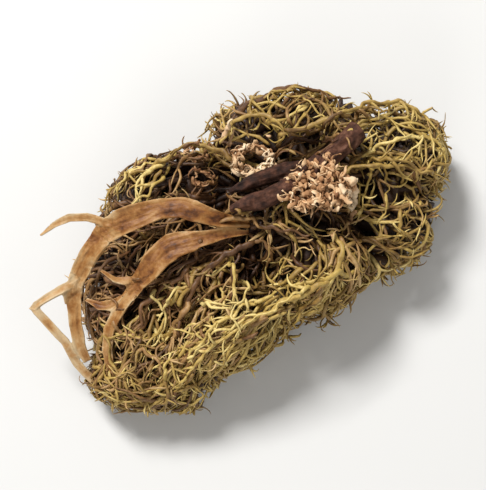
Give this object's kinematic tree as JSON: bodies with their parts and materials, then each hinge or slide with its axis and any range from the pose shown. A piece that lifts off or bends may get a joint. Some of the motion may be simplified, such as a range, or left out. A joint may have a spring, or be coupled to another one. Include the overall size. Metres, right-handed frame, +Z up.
{
  "type": "lichen on a twig",
  "caption": "Dried shrubby lichen tuft with brown strap-like lobes and fine yellow-green branches, grown round a small forked twig.",
  "frame": {"origin": "middle of the tuft's footprint, on the surface it lies on", "axes": "+Z up, +X along the tuft's long way, from the brown lobes towards the green tufts"},
  "size_m": [0.0534, 0.0418, 0.0179],
  "materials": {
    "bark": "dry dark bark",
    "lobe": "dry, leathery, satin",
    "stem": "dry, leathery, satin",
    "tuft": "dry, matte, wiry",
    "holdfast": "dry, crumbly, matte"
  },
  "bodies": {
    "root": {"holdfast": "holdfast", "holdfast_curl": "holdfast", "lobe_elbow": "lobe", "lobe_elbow_tail": "lobe", "lobe_horn": "lobe", "lobe_inner": "lobe", "lobe_inner_left": "lobe", "lobe_inner_long": "lobe", "lobe_inner_low": "lobe", "lobe_outer": "lobe", "lobe_outer_tail": "lobe", "pale_flake": "holdfast", "pale_scale": "holdfast", "stem_centre": "stem", "stem_centre_side": "stem", "stem_east": "stem", "stem_north_arch": "stem", "stem_north_loop": "stem", "stem_north_rail": "stem", "stem_northwest": "stem", "stem_northwest_side": "stem", "stem_right": "stem", "stem_south_ridge": "stem", "stem_southwest": "stem", "tuft_east": "tuft", "tuft_heart": "tuft", "tuft_nest": "tuft", "tuft_north": "tuft", "tuft_northeast": "tuft", "tuft_northwest": "tuft", "tuft_south": "tuft", "tuft_southeast": "tuft", "tuft_southwest": "tuft", "tuft_west": "tuft", "twig_arm_lower": "bark", "twig_arm_upper": "bark", "twig_stem": "bark"}
  },
  "joints": []
}
